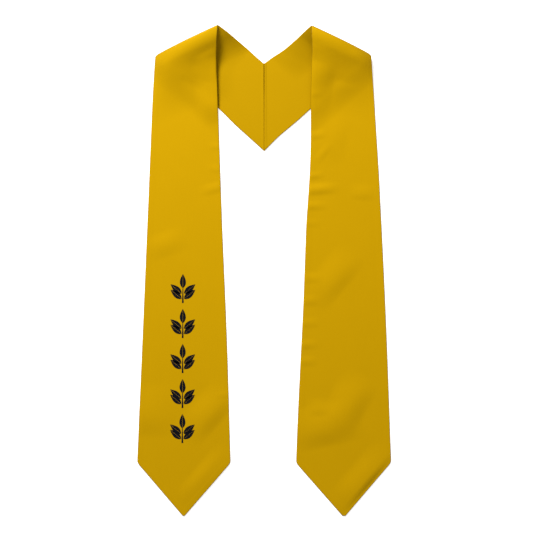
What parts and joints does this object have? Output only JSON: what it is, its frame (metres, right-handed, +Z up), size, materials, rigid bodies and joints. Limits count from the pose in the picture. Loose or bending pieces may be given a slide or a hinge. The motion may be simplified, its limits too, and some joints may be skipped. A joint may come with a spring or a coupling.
{
  "type": "graduation stole",
  "caption": "Long satin stole with pointed ends, sewn in a V at the centre back and laid flat, folded at the shoulders.",
  "frame": {"origin": "on the table under the middle of the stole's outline", "axes": "+Z up from the table, +Y from the points towards the shoulders, +X to the right as the fronts are seen"},
  "size_m": [0.4064, 0.7822, 0.0285],
  "materials": {
    "face_satin": "satin",
    "backing_satin": "satin",
    "black_print": "matte",
    "thread": "satin"
  },
  "bodies": {
    "root": {"left_face": "face_satin", "left_backing": "backing_satin", "right_face": "face_satin", "right_backing": "backing_satin"}
  },
  "joints": []
}
